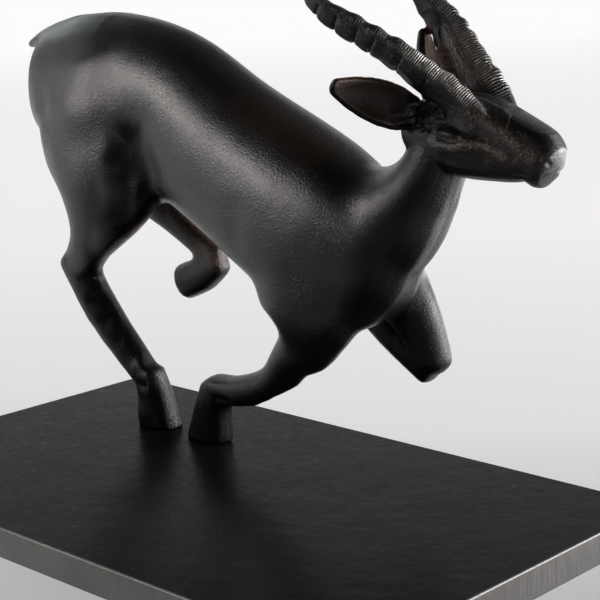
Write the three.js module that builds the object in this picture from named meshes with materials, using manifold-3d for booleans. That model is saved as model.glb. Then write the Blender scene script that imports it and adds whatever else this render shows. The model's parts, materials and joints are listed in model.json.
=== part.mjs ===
// A running springbok in dark patinated bronze, on a rectangular steel plate with a black top.
// Millimetres, +Z up, +X the way the animal runs, +Y to its left.
// The origin is the middle of the plate's underside.
import * as THREE from "three";
import { mergeVertices } from "three/addons/utils/BufferGeometryUtils.js";
import Module from "manifold-3d";

// The plate that carries the figure.
const PLATE = { length: 240, width: 140, thickness: 10, chamfer: 0.6 };

// The figure stands off the plate's centre line, towards its far long side.
const FIGURE_OFFSET = 34;

const SIDEWAYS = new THREE.Vector3(0, 1, 0);
const RIGHT = -1;
const LEFT = 1;

// One cross-section of a form, in the figure's own frame: x forward, y left of its middle, z above the plate.
// wide and deep are half sizes, square is the superellipse power, and pear widens the underside.
function section(x, y, z, wide, deep, { square = 2, pear = 0 } = {}) {
  return { at: new THREE.Vector3(x, y, z), wide, deep, square, pear };
}

const TRUNK = [
  section(-108, 0, 121, 16, 22.5, { square: 2.4 }),
  section(-84, 0, 119.7, 19.5, 28.7, { square: 2.5, pear: 0.1 }),
  section(-52, 0, 114.6, 17, 29.2, { square: 2.3, pear: 0.02 }),
  section(-22.6, 0, 101.2, 19, 28, { square: 2.2, pear: 0.08 }),
  section(16.5, 0, 82.5, 20.5, 28.5, { square: 2.5, pear: 0.1 }),
  section(41, 0, 72.5, 16.5, 23.2, { square: 2.3 }),
];

const NECK = [
  section(20, 0, 77, 17, 25),
  section(50, 0, 87.5, 13.6, 17.4),
  section(63, 0, 101, 10.5, 10.3),
  section(69, 0, 112, 9.5, 10),
];

const HEAD = [
  section(60, 0, 114.5, 8.5, 8.5),
  section(70, 0, 115, 10.5, 11.5, { square: 2.3 }),
  section(80, 0, 113.5, 11, 12.3, { square: 2.5 }),
  section(92, 0, 111.7, 8.5, 10.8, { square: 2.6 }),
  section(100.5, 0, 110, 7, 9, { square: 2.5 }),
  section(105.2, 0, 107.2, 6.2, 7.4, { square: 2.3 }),
];

const TAIL = [
  section(-74, 0, 145.5, 4, 2.5),
  section(-98, 0, 144, 6.5, 3.2),
  section(-118, 0, 138.7, 6.5, 3.2),
  section(-129.5, 0, 135.5, 3.5, 2),
];

// The right hind leg stands on the plate and swings forward from the hock.
const RIGHT_THIGH = [
  section(-86, -6, 123, 12.5, 22),
  section(-83, -10.5, 102, 12, 26),
  section(-81, -11.5, 85, 11.5, 16.5),
  section(-84.5, -11, 70, 8.5, 9.5),
  section(-95, -9, 57.5, 6, 8),
];
const RIGHT_STIFLE = [
  section(-78, -7, 112, 11, 18),
  section(-66, -10.5, 97, 11, 15.5),
  section(-58, -11, 88, 9, 9.5),
];
const RIGHT_GASKIN = [
  section(-57, -11, 87, 7.5, 9),
  section(-70, -11.5, 79, 8.5, 10.5),
  section(-89, -10, 64.5, 6.8, 8),
];
const RIGHT_HIND_CANNON = [
  section(-99, -9, 60, 6, 7, { square: 2.6 }),
  section(-86, -7.5, 40, 5.8, 6.4, { square: 2.8 }),
  section(-68, -5, 20, 5, 5.2, { square: 2.8 }),
];
const RIGHT_HIND_HOOF = [
  section(-66, -4.5, 20, 5.2, 6, { square: 2.6 }),
  section(-64, -3.5, 11, 5.6, 7, { square: 2.6 }),
  section(-62.5, -2.8, -3, 6.3, 9.5, { square: 2.8 }),
];

// The left hind leg is gathered up, with its hoof hanging back.
const LEFT_THIGH = [
  section(-86, 6, 123, 12.5, 22),
  section(-83, 11, 105, 12, 25),
  section(-82, 12.5, 90, 8.5, 15.5),
];
const LEFT_STIFLE = [
  section(-77, 7, 112, 11, 18),
  section(-66, 11, 99, 10.5, 14.5),
  section(-58, 12.5, 90, 8.5, 9.5),
];
const LEFT_GASKIN = [
  section(-58, 12.5, 90, 8, 9.5),
  section(-73, 13.5, 85, 8, 9.5),
  section(-89, 13, 80, 6, 7),
];
const LEFT_HIND_CANNON = [
  section(-90, 13, 83, 5.5, 6.5, { square: 2.6 }),
  section(-68, 12.5, 74, 4.8, 5.4, { square: 2.8 }),
  section(-44, 12, 61.5, 4.4, 4.8, { square: 2.8 }),
];
const LEFT_HIND_HOOF = [
  section(-43, 12, 60.5, 4.6, 5, { square: 2.5 }),
  section(-52, 12, 55, 5.5, 6.5, { square: 2.4 }),
  section(-62, 12, 51, 5.5, 6.8, { square: 2.3 }),
];

// The right foreleg reaches down and back, low over the plate, and stands on its hoof.
const RIGHT_FORELEG = [
  section(15, -5, 92, 12, 17),
  section(17, -9, 67, 11, 20),
  section(20.5, -9.5, 55, 10.5, 19),
  section(18.5, -8.5, 45.5, 8.6, 12.4),
  section(10.5, -7.8, 38, 7.2, 8),
  section(1, -7, 28, 6, 6.3),
  section(-18, -5, 21, 5.4, 5.4, { square: 2.4 }),
  section(-30, -4, 19.5, 5.4, 5.4, { square: 2.4 }),
];
const RIGHT_FORE_HOOF = [
  section(-30.5, -4, 20, 5.4, 6, { square: 2.6 }),
  section(-33.5, -3.2, 11, 5.8, 7.4, { square: 2.6 }),
  section(-37, -2.4, -3, 6.3, 9.6, { square: 2.8 }),
];

// The left foreleg is bent: the knee points down and forward, and the cannon folds back under the chest.
const LEFT_FOREARM = [
  section(24, 9, 80, 12, 20),
  section(34, 13, 66, 9.5, 14),
  section(44, 16, 50, 7, 9),
  section(49, 17, 37, 6, 7),
];
const LEFT_FORE_CANNON = [
  section(48.5, 17, 34.5, 5, 5.6, { square: 2.5 }),
  section(31, 17, 45, 4.6, 5.4, { square: 2.6 }),
  section(14, 18, 57, 4.4, 4.8, { square: 2.6 }),
];
const LEFT_FORE_HOOF = [
  section(15, 18, 57.5, 4.8, 5, { square: 2.4 }),
  section(7, 18.5, 53.5, 5.2, 6.2, { square: 2.4 }),
  section(2, 18.5, 46, 5, 6, { square: 2.3 }),
];

// A horn: its line from the forehead to the tip on the left side, its half sizes, and its growth rings.
const HORN = {
  line: [
    new THREE.Vector3(86.5, 5, 117),
    new THREE.Vector3(73, 9, 128),
    new THREE.Vector3(63.2, 13.7, 136.6),
    new THREE.Vector3(53.7, 19.5, 143.6),
    new THREE.Vector3(42.4, 24.2, 151.1),
    new THREE.Vector3(36.2, 25, 158.8),
    new THREE.Vector3(37, 21.5, 167),
  ],
  base: { wide: 3.9, deep: 7.8 },
  tip: { wide: 1.1, deep: 1.1 },
  rings: 8,
  ringedShare: 0.8,
  ringHeight: 0.05,
  twist: 0.68,
  root: 0.7,
};

// An ear is a leaf with a hollow face. The right one is held out, and the left one is pricked.
const EAR = { wide: 7, thick: 3.2, hollow: 2.4 };
const RIGHT_EAR = { root: new THREE.Vector3(63, -8, 120), tip: new THREE.Vector3(57.5, -36, 130) };
const LEFT_EAR = { root: new THREE.Vector3(61, 6, 118), tip: new THREE.Vector3(46, 18.5, 141.5) };

const wasm = await Module();
wasm.setup();

function solid(geometry) {
  const bare = geometry.clone();
  bare.deleteAttribute("normal");
  bare.deleteAttribute("uv");
  const merged = mergeVertices(bare, 1e-4);
  const mesh = new wasm.Mesh({
    numProp: 3,
    vertProperties: new Float32Array(merged.attributes.position.array),
    triVerts: new Uint32Array(merged.index.array),
  });
  return new wasm.Manifold(mesh);
}

function geometryOf(manifold) {
  const mesh = manifold.getMesh();
  const geometry = new THREE.BufferGeometry();
  geometry.setAttribute("position", new THREE.BufferAttribute(mesh.vertProperties, 3));
  geometry.setIndex(new THREE.BufferAttribute(mesh.triVerts, 1));
  geometry.computeVertexNormals();
  return geometry;
}

// A point of a superellipse section, with its half sizes of 1.
function sectionPoint(angle, square) {
  const round = (value) => Math.sign(value) * Math.abs(value) ** (2 / square);
  return { across: round(Math.cos(angle)), through: round(Math.sin(angle)) };
}

// Rings of points, joined by triangles and closed to a pole at each end.
function skin(rings) {
  const sides = rings[0].points.length;
  const points = rings.flatMap((ring) => ring.points);
  const first = points.push(rings[0].pole) - 1;
  const last = points.push(rings.at(-1).pole) - 1;
  const index = [];
  for (let j = 0; j < sides; j++) {
    const k = (j + 1) % sides;
    index.push(first, k, j);
    for (let i = 0; i + 1 < rings.length; i++) {
      const here = i * sides;
      const next = here + sides;
      index.push(here + j, here + k, next + j);
      index.push(here + k, next + k, next + j);
    }
    const end = (rings.length - 1) * sides;
    index.push(last, end + j, end + k);
  }
  const geometry = new THREE.BufferGeometry().setFromPoints(points);
  geometry.setIndex(index);
  return geometry;
}

// A form swept through its cross-sections, with domed ends. dome is an end's height over its smaller half size.
function loft(sections, { sides = 16, steps = 4, dome = 0.6, across = SIDEWAYS } = {}) {
  const path = new THREE.CatmullRomCurve3(sections.map((s) => s.at), false, "centripetal");
  const sizes = new THREE.CatmullRomCurve3(
    sections.map((s) => new THREE.Vector3(s.wide, s.deep, s.square)), false, "catmullrom", 0.5);
  const pears = sections.map((s) => s.pear);
  const count = (sections.length - 1) * steps;

  const ring = (t, shift, shrink) => {
    const along = path.getTangent(t);
    const side = across.clone().addScaledVector(along, -across.dot(along)).normalize();
    const through = new THREE.Vector3().crossVectors(along, side);
    const centre = path.getPoint(t).addScaledVector(along, shift);
    const { x: wide, y: deep, z: square } = sizes.getPoint(t);
    const place = t * (sections.length - 1);
    const low = Math.min(Math.floor(place), sections.length - 2);
    const pear = THREE.MathUtils.lerp(pears[low], pears[low + 1], place - low);
    const points = [];
    for (let j = 0; j < sides; j++) {
      const p = sectionPoint((2 * Math.PI * j) / sides, square);
      const spread = wide * (1 - pear * p.through) * shrink;
      const point = centre.clone().addScaledVector(side, p.across * spread);
      points.push(point.addScaledVector(through, p.through * deep * shrink));
    }
    return { points, pole: centre };
  };

  const domed = (t, way) => {
    const { x: wide, y: deep } = sizes.getPoint(t);
    const height = dome * Math.min(wide, deep);
    const lifts = [30, 62].map((degrees) => THREE.MathUtils.degToRad(degrees));
    const rings = lifts.map((lift) => ring(t, way * height * Math.sin(lift), Math.cos(lift)));
    rings.at(-1).pole = ring(t, way * height, 0).pole;
    return rings;
  };

  const body = [];
  for (let i = 0; i <= count; i++) body.push(ring(i / count, 0, 1));
  const rings = [...domed(0, -1).reverse(), ...body, ...domed(1, 1)];
  return skin(rings);
}

// A ringed horn on one side of the head, deep from front to back at its root and hooked at its tip.
function horn(side) {
  const line = HORN.line.map((p) => new THREE.Vector3(p.x, side * p.y, p.z));
  const path = new THREE.CatmullRomCurve3(line, false, "centripetal");
  const steps = Math.round((HORN.rings * 4) / HORN.ringedShare);
  const sections = [];
  for (let i = 0; i <= steps; i++) {
    const t = i / steps;
    const at = path.getPoint(t);
    const taper = t ** 1.2;
    const root = Math.min(1, HORN.root + 3 * t);
    const ringed = Math.max(0, 1 - (t / HORN.ringedShare) ** 6);
    const knob = Math.abs(Math.sin((Math.PI * HORN.rings * t) / HORN.ringedShare)) - 0.5;
    const swell = 1 + 2 * HORN.ringHeight * ringed * knob;
    const wide = THREE.MathUtils.lerp(HORN.base.wide, HORN.tip.wide, taper) * swell * root;
    const deep = THREE.MathUtils.lerp(HORN.base.deep, HORN.tip.deep, t ** 1.6) * swell * root;
    sections.push(section(at.x, at.y, at.z, wide, deep));
  }
  const across = new THREE.Vector3(-HORN.twist, side, 0).normalize();
  return loft(sections, { sides: 10, steps: 1, dome: 1, across });
}

// A leaf-shaped ear with a hollow on the face that looks along facing.
function ear({ root, tip }, facing) {
  const along = tip.clone().sub(root).normalize();
  const side = new THREE.Vector3().crossVectors(along, facing).normalize();
  const front = new THREE.Vector3().crossVectors(side, along);
  const outline = [0.75, 0.97, 1, 0.9, 0.7, 0.38];
  const leaf = (scale, lift) => outline.map((share, i) => {
    const at = root.clone().lerp(tip, i / (outline.length - 1)).addScaledVector(front, lift);
    return section(at.x, at.y, at.z, EAR.wide * share * scale, EAR.thick * scale * Math.sqrt(share));
  });
  const outer = solid(loft(leaf(1, 0), { sides: 10, steps: 1, dome: 0.5, across: side }));
  const inner = solid(loft(leaf(0.78, EAR.hollow), { sides: 10, steps: 1, dome: 0.5, across: side }));
  return outer.subtract(inner);
}

function springbok() {
  const broad = { sides: 24, steps: 4, dome: 0.9 };
  const limb = { sides: 16, steps: 3, dome: 0.7 };
  const thick = { sides: 12, steps: 2, dome: 0.8 };
  const shin = { sides: 10, steps: 3, dome: 0.4 };
  const foot = { sides: 12, steps: 2, dome: 0.4 };
  const forms = [
    loft(TRUNK, broad),
    loft(NECK, { sides: 20, steps: 3, dome: 0.6 }),
    loft(HEAD, { sides: 20, steps: 4, dome: 0.6 }),
    loft(TAIL, { sides: 10, steps: 2, dome: 0.8 }),
    loft(RIGHT_THIGH, limb),
    loft(LEFT_THIGH, limb),
    loft(RIGHT_FORELEG, limb),
    loft(LEFT_FOREARM, limb),
    ...[RIGHT_STIFLE, RIGHT_GASKIN, LEFT_STIFLE, LEFT_GASKIN].map((muscle) => loft(muscle, thick)),
    ...[RIGHT_HIND_CANNON, LEFT_HIND_CANNON, LEFT_FORE_CANNON].map((leg) => loft(leg, shin)),
    ...[RIGHT_HIND_HOOF, LEFT_HIND_HOOF, RIGHT_FORE_HOOF, LEFT_FORE_HOOF].map((hoof) => loft(hoof, foot)),
    horn(RIGHT),
    horn(LEFT),
  ].map(solid);
  forms.push(ear(RIGHT_EAR, new THREE.Vector3(0.8, -0.5, 0.1)));
  forms.push(ear(LEFT_EAR, new THREE.Vector3(0.95, 0.1, 0.1)));
  const figure = forms.reduce((whole, form) => whole.add(form));
  const below = new THREE.BoxGeometry(400, 200, 40).translate(0, 0, -20);
  return geometryOf(figure.subtract(solid(below)));
}

function basePlate() {
  const { length, width, thickness, chamfer } = PLATE;
  const outline = new THREE.Shape();
  const x = length / 2 - chamfer;
  const y = width / 2 - chamfer;
  outline.moveTo(-x, -y);
  outline.lineTo(x, -y);
  outline.lineTo(x, y);
  outline.lineTo(-x, y);
  outline.closePath();
  return new THREE.ExtrudeGeometry(outline, {
    depth: thickness - 2 * chamfer,
    bevelThickness: chamfer,
    bevelSize: chamfer,
    bevelSegments: 1,
  }).translate(0, 0, chamfer);
}

const bronze = new THREE.MeshStandardMaterial({ color: 0x17130f, roughness: 0.45, metalness: 0.8 });
const steel = new THREE.MeshStandardMaterial({ color: 0x3a3a3c, roughness: 0.5, metalness: 0.7 });

const figure = new THREE.Mesh(springbok(), bronze);
figure.name = "springbok";
figure.position.set(0, FIGURE_OFFSET, PLATE.thickness);

const plate = new THREE.Mesh(basePlate(), steel);
plate.name = "base_plate";

const sculpture = new THREE.Group();
sculpture.add(plate, figure);

export default sculpture;
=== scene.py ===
import json
import math

import bpy
import numpy as np
from mathutils import Matrix, Vector

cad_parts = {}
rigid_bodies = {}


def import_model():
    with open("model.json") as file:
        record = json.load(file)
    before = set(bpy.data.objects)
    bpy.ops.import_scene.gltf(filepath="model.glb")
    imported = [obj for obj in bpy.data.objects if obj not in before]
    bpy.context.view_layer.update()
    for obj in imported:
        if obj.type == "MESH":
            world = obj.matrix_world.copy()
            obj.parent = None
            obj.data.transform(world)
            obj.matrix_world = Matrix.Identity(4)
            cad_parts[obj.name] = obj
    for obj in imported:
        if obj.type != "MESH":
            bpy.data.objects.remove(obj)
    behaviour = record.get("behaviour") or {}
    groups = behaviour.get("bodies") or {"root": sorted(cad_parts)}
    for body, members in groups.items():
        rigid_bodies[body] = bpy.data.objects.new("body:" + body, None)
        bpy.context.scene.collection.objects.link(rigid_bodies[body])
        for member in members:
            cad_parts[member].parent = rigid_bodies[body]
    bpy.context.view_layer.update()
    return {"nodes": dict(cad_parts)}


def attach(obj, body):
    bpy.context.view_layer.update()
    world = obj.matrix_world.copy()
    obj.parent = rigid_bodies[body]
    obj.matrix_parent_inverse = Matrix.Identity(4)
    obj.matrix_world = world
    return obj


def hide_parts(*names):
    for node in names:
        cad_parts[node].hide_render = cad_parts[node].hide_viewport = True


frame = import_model()

# A running springbok in dark patinated bronze, on a black-topped steel plate.
# The figure is in millimetres in its own frame: x forward, y to its left, z above the plate.
# Its near side, towards the camera, is its right one, with y below zero.
# The camera, the lights and the patterns of the materials are in metres, in the part's frame.
MM = 0.001
FIGURE_AT = np.array([0.0, 34.0, 10.0])
ANY = math.inf
SEED = 7

# How fine the meshes are.
SKIN_VOXEL = 0.45
FORM_VOXEL = 1.2
SKIN_TRIANGLES = 190000
MERGE_GAP = 1e-6
WEIGHT_LEVELS = 40
SMOOTH_STEP = 0.5
RELIEF_ROUNDS = 24
HEAD_KEPT_FINE = {"head": 0.15, "elsewhere": 0.85, "factor": 0.6}

PLATE = {"length": 240.0, "width": 140.0, "thickness": 10.0, "arris": 0.55, "arris_steps": 2}

# The camera's place in the photograph, its angles in degrees and its lens.
CAMERA = {"place": (0.3595, -0.3312, 0.1792), "turn": 43.99, "down": 12.65, "roll": -1.81,
          "lens": 94.99, "sensor": 36.0, "clip": 0.02}

# The head lies in front of a slanting plane, given by a place in side view and its slopes.
HEAD_PLANE = {"x": 60.0, "z": 103.0, "slope_x": 0.8, "slope_z": 0.6, "fades": (-3.0, 5.0)}
# Each leg's part of the figure, and the heights between which the thin leg turns to flesh.
THIN_LEGS = {
    "near_hind": {"x": (-ANY, -40.0), "y": (-ANY, 3.0), "z": (60.0, 82.0)},
    "far_hind": {"x": (-ANY, -38.0), "y": (3.0, ANY), "z": (84.0, 102.0)},
    "near_fore": {"x": (-40.0, ANY), "y": (-ANY, 0.0), "z": (26.0, 48.0)},
    "far_fore": {"x": (-6.0, ANY), "y": (5.0, ANY), "z": (46.0, 70.0)},
}
LEG_SOLE = (1.5, 5.0)
LEG_TOP = (120.0, 130.0)
LEG_JOINTS = [(-94.0, -9.5, 56.0), (-88.0, -9.5, 53.0), (-43.0, 12.5, 62.0), (33.0, -9.0, 47.0),
              (22.0, -12.0, 37.5)]
JOINT_REACH = (6.0, 14.0)
TAIL_PAD = {"behind": -74.0, "z": (139.0, 143.0), "share": 0.5}
FOREQUARTERS = (-25.0, 5.0)
NEAR_EAR = [(62.0, -13.0, 121.8), (57.5, -36.0, 130.0)]
FAR_EAR = [(57.0, 9.5, 125.0), (46.0, 18.5, 141.5)]
EAR_REACH = (6.5, 8.0)

# Features of the head, on the near side; most strokes repeat them on the far side.
EYE_SOCKET = [(73.0, -10.6, 115.0), (80.0, -10.9, 114.6)]
HAIR_TUFT = [(66.5, -10.0, 121.5), (70.5, -10.5, 118.5)]
BROW_CREASE = [(67.5, -10.0, 116.1), (71.8, -10.4, 117.1), (77.4, -10.8, 117.0), (81.6, -10.6, 115.6),
               (85.3, -9.9, 114.7), (90.4, -8.8, 113.9)]
BROW_RIDGE = [(69.0, -10.0, 118.6), (73.0, -10.4, 119.6), (78.0, -10.6, 119.4)]
EYE_BALL = [(74.6, -10.8, 115.4), (79.6, -11.0, 114.7)]
LOWER_LID = [(72.0, -10.6, 115.7), (74.5, -10.9, 114.0), (77.0, -11.0, 113.2), (80.0, -11.0, 113.1),
             (82.8, -10.6, 113.9)]
CHEEK_RIDGE = [(72.0, -10.7, 112.4), (75.5, -10.8, 111.8), (79.0, -10.8, 111.5), (83.5, -10.4, 112.3),
               (88.3, -9.3, 112.7), (91.9, -8.5, 111.4), (94.8, -7.9, 109.6)]
CHEEK_HOLLOW = [(74.0, -10.2, 107.6), (83.0, -9.6, 107.8), (91.0, -8.4, 107.0)]
FACE_RIDGE = [(80.0, -10.0, 121.6), (84.5, -9.4, 120.9), (87.7, -8.4, 120.0), (91.5, -7.8, 118.0),
              (95.5, -7.5, 115.2), (99.6, -7.0, 112.4), (103.0, -6.5, 109.8)]
FACE_SIDE = [(86.0, -9.2, 116.6), (91.5, -8.3, 114.6), (96.0, -7.8, 111.4), (100.0, -7.0, 108.4)]
NOSTRIL = [(106.4, -5.6, 109.8), (107.6, -5.2, 108.8), (108.5, -3.6, 107.5)]
NOSTRIL_RIM = [(105.6, -6.0, 111.0), (107.6, -5.2, 110.4), (109.0, -3.6, 108.9)]
MOUTH = [(96.8, -5.6, 103.6), (101.0, -5.2, 103.5), (105.0, -4.9, 104.2), (107.6, -3.0, 105.0),
         (108.6, 0.0, 105.3)]
CHIN = [(101.4, -1.2, 101.4), (103.4, -0.6, 101.6)]
MUZZLE_TOP = {"centre": (99.0, 0.0, 118.6), "normal": (0.42, 0.0, 0.91)}
CHIN_FRONT = {"centre": (106.2, 0.0, 103.2), "normal": (0.75, -0.2, -0.62)}
NOSE = {"x": (104.5, 108.0), "z": (104.5, 106.5)}
HAIR_PATCH = {"centre": (69.0, 120.0), "size": (7.0, 4.6), "side": 9.5, "dimples": 150, "reach": 0.9,
              "lean": 0.9, "length": (0.8, 2.0), "depth": 0.3, "depth_share": (0.5, 1.2),
              "fades": (0.8, 1.1), "clear_of_middle": 4.0}
NEAR_EAR_RIM = [(62.4, -11.7, 127.5), (61.4, -16.9, 130.9), (60.2, -22.7, 132.3), (59.0, -29.0, 132.2),
                (57.6, -35.4, 131.7)]

# Features of the body and the legs.
BREAST_EDGE = [(74.2, -2.0, 101.0), (70.7, -3.0, 94.4), (68.0, -4.2, 89.0), (64.5, -4.4, 81.4),
               (61.0, -4.0, 76.4), (57.8, -3.6, 72.0), (53.2, -3.4, 64.6), (48.6, -5.0, 59.2),
               (42.2, -5.0, 53.5)]
BREAST_SIDE = [(62.0, -10.5, 96.0), (56.0, -12.0, 86.0), (53.0, -10.5, 75.0), (48.0, -11.0, 64.0)]
UPPER_ARM = [(20.0, -19.8, 65.0), (19.3, -18.5, 50.0)]
FLANK_FOLD = [(-2.5, -20.0, 92.0), (-1.8, -20.2, 82.4), (-1.9, -19.2, 73.0)]
FLANK_VALLEY = [(-57.0, -17.5, 116.0), (-53.5, -17.0, 105.0), (-49.5, -16.5, 96.0), (-45.5, -14.5, 88.5)]
HIP = [(-90.0, -18.5, 117.0), (-79.0, -20.5, 117.0), (-71.0, -20.0, 116.0)]
HIP_CREST = [(-76.0, -16.5, 129.0), (-77.0, -18.5, 123.0), (-78.0, -20.0, 117.0)]
RUMP_BACK = [(-106.0, -14.0, 112.0), (-101.0, -17.0, 107.0)]
BACK_EDGE = [(-68.0, -18.5, 128.5), (-42.0, -17.8, 123.6), (-18.0, -18.0, 110.0), (4.6, -18.4, 100.4),
             (22.6, -19.5, 86.3)]
BACK_RUB = [(-4.0, -10.0, 118.0), (11.0, -10.0, 112.6), (24.0, -9.0, 107.0)]
GROIN = [(-58.0, -17.0, 99.0), (-55.0, -16.0, 92.0), (-54.0, -15.0, 86.0), (-57.0, -16.0, 80.0),
         (-66.0, -17.5, 75.0)]
ELBOW = [(42.0, -5.0, 53.5), (36.5, -6.5, 50.0), (35.0, -9.0, 47.0)]
TAIL_CREASE = [(-112.0, -11.5, 135.4), (-104.0, -14.0, 135.2), (-95.6, -15.7, 135.1),
               (-86.1, -16.5, 135.3), (-78.0, -16.3, 135.9), (-72.8, -15.1, 137.6), (-68.0, -13.4, 140.0)]
STIFLE_EDGE = [(-66.0, -18.6, 77.0), (-64.0, -18.6, 83.0), (-63.0, -18.9, 90.0), (-63.0, -19.0, 97.0),
               (-65.0, -19.6, 104.0)]
STIFLE_FACET = (0.48, -0.87, -0.05)
CANNON_EDGE = [(-88.0, -11.9, 48.5), (-84.5, -11.3, 41.0), (-79.3, -10.5, 34.3), (-73.4, -9.7, 27.8)]
CANNON_FACET = (0.58, -0.72, 0.38)
# On the far hind cannon, brown rub and lighter tooling are also a painted highlight.
FAR_CANNON_RUB_AND_HIGHLIGHT = [(-62.0, 8.5, 76.0), (-50.0, 9.5, 69.0), (-43.0, 10.0, 62.0)]
FOREARM_EDGE = [(5.0, -6.0, 25.6), (-1.0, -6.0, 22.2)]
FOREARM_FACET = (0.40, 0.16, -0.89)
HIND_HEEL_NOTCH = [(-67.0, -6.0, 16.8), (-65.0, -9.4, 15.8), (-62.0, -9.0, 15.2)]
HIND_HEEL = [(-67.0, -5.0, 5.0), (-65.5, -8.5, 4.5)]
FORE_PASTERN = [(-28.5, -9.3, 17.4), (-23.3, -9.6, 17.6), (-18.2, -9.8, 18.0)]
FORE_FETLOCK = [(-31.0, -9.0, 23.0), (-24.0, -10.0, 23.0)]
# Painted shade on the hooves and the standing cannon, as lost gloss, apart from what faces forward.
HOOF_SHADE = {"z": (13.0, 19.0), "forward": (0.4, 0.8), "front_loss": 0.6, "dull": 0.95}
CANNON_SHADE = {"reach": 12.0, "forward": (0.65, 0.9), "dull": 0.6}

# A horn's line from the forehead to the tip on the left side, and its half sizes.
HORN_LINE = np.array([
    (86.5, 5.0, 117.0), (73.0, 9.0, 128.0), (63.2, 13.7, 136.6), (53.7, 19.5, 143.6),
    (42.4, 24.2, 151.1), (36.2, 25.0, 158.8), (37.0, 21.5, 167.0)])
HORN_STEPS = 16
HORN_SPAN = 4
HORN_WIDE = {"base": 3.9, "tip": 1.1, "power": 1.2}
HORN_DEEP = {"base": 7.8, "tip": 1.1, "power": 1.6}
HORN_TWIST = 0.68
HORN_BOX = {"front_of": 25.0, "above": 112.0, "reach": 9.5, "loose": 1.45, "ear": 0.2}
# Across a horn, its sides and its front lie at about one.
# Along it, the root is at nothing and the tip at one, and the rings are in millimetres.
HORN_ROOT = (0.03, 0.10)
RIDGE = {"front": (0.45, 0.75), "side": (0.5, 0.75), "rise": 0.1}
KNOBS = {"spacing": 6.3, "rise": 0.5, "ends": (0.75, 0.85)}
RINGS = {"outer": (-0.4, 0.2), "starts": (13.0, 19.0), "ends": (66.0, 70.0), "bead": 2.6, "groove": 0.65,
         "rise": 0.25, "sunk": 0.6, "cut": 1.9}
RING_GROOVES = np.array([21.5, 31.0, 40.5, 46.0, 53.0, 59.5, 65.0])
RELIEF_TAPER = 0.5
INNER_FACE = {"inner": (0.3, 0.8), "edge": (0.55, 0.85), "starts": (0.1, 0.2), "depth": 0.5}
INNER_RUB = {"starts": (0.08, 0.16), "ends": (0.35, 0.5), "wear": 0.8, "tooled": 0.9}
FAR_REAR = {"back": (0.4, 0.8), "starts": (0.06, 0.14), "ends": (0.36, 0.46), "fill": 2.0}
# Painted shade, as lost gloss, on the far horn's rear face.
FAR_REAR_SHADE = {"back": (0.1, 0.6), "dull": 0.7}
NEAR_HATCH = {"ends": (0.26, 0.36), "loss": 0.85}
FAR_HATCH = {"front": (0.2, 0.5), "inner": (-0.6, -0.2), "ends": (0.72, 0.8), "spread": 0.68}
HORN_TOOLED = 0.25
ACROSS_HORN = {"scale": 6.0, "apart": 40.0}

# Lines on the skin that are rubbed, tooled or given painted shade as lost gloss: the line, its reach, and how
# strongly.
# The far cannon's rub and tooling are partly a painted highlight.
RUBBED_LINES = [(NEAR_EAR_RIM, 2.6, 1.0), (CHEEK_RIDGE[2:], 2.4, 0.7), (FACE_RIDGE[1:], 2.8, 0.45),
                (BACK_RUB, 10.0, 0.3), (CHIN, 3.5, 0.5), (FAR_EAR, 7.0, 0.6), (FAR_CANNON_RUB_AND_HIGHLIGHT, 7.0, 1.0)]
TOOLED_LINES = [(CHEEK_RIDGE, 2.6, 1.0), (FACE_RIDGE, 3.4, 0.7), (BROW_RIDGE, 2.0, 0.6),
                (FAR_CANNON_RUB_AND_HIGHLIGHT, 7.0, 0.7)]
SHADE_LINES = [(BREAST_SIDE, 12.0, 0.75), (UPPER_ARM, 12.0, 0.55), (TAIL_CREASE, 9.0, 0.6)]
# The groin's painted shade, given as lost gloss, and its reach.
GROIN_SHADE = {"reach": 15.0, "dull": 0.9}
# How much painted shade, as lost gloss, the far ear takes.
FAR_EAR_SHADE = 0.9
DEEP_RELIEF = (0.05, 0.35)


def photo_camera():
    """The camera at the photograph's place."""
    data = bpy.data.cameras.new("photo_camera")
    data.sensor_width = CAMERA["sensor"]
    data.lens = CAMERA["lens"]
    data.clip_start = CAMERA["clip"]
    camera = bpy.data.objects.new("photo_camera", data)
    bpy.context.collection.objects.link(camera)
    place = Matrix.Translation(CAMERA["place"])
    turn = Matrix.Rotation(math.radians(CAMERA["turn"]), 4, "Z")
    tilt = Matrix.Rotation(math.radians(90 - CAMERA["down"]), 4, "X")
    roll = Matrix.Rotation(math.radians(CAMERA["roll"]), 4, "Z")
    camera.matrix_world = place @ turn @ tilt @ roll
    bpy.context.scene.camera = camera


def pick(obj):
    bpy.ops.object.select_all(action="DESELECT")
    obj.select_set(True)
    bpy.context.view_layer.objects.active = obj


def modify(obj, kind, **settings):
    pick(obj)
    modifier = obj.modifiers.new(kind.lower(), kind)
    for name, value in settings.items():
        setattr(modifier, name, value)
    bpy.ops.object.modifier_apply(modifier=modifier.name)


def vectors_of(obj, kind):
    flat = np.empty(3 * len(obj.data.vertices), dtype=np.float32)
    obj.data.vertices.foreach_get(kind, flat)
    return flat.reshape(-1, 3).astype(float)


def points_of(obj):
    return vectors_of(obj, "co") / MM - FIGURE_AT


def normals_of(obj):
    return vectors_of(obj, "normal")


def set_points(obj, points):
    obj.data.vertices.foreach_set("co", ((points + FIGURE_AT) * MM).astype(np.float32).ravel())
    obj.data.update()


def everywhere(obj):
    return np.ones(len(obj.data.vertices))


def soft_step(t):
    return t * t * (3 - 2 * t)


def ramp(value, low, high):
    """Nothing up to low, one from high on, and a soft step between them."""
    return soft_step(np.clip((value - low) / (high - low), 0.0, 1.0))


def between(value, limits):
    return (value >= limits[0]) & (value < limits[1])


def vertex_weights(obj, name, values):
    group = obj.vertex_groups.new(name=name)
    levels = np.round(np.clip(values, 0, 1) * WEIGHT_LEVELS).astype(int)
    for level in range(1, WEIGHT_LEVELS + 1):
        index = np.flatnonzero(levels == level)
        if len(index):
            group.add(index.tolist(), level / WEIGHT_LEVELS, "REPLACE")
    return group


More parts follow.
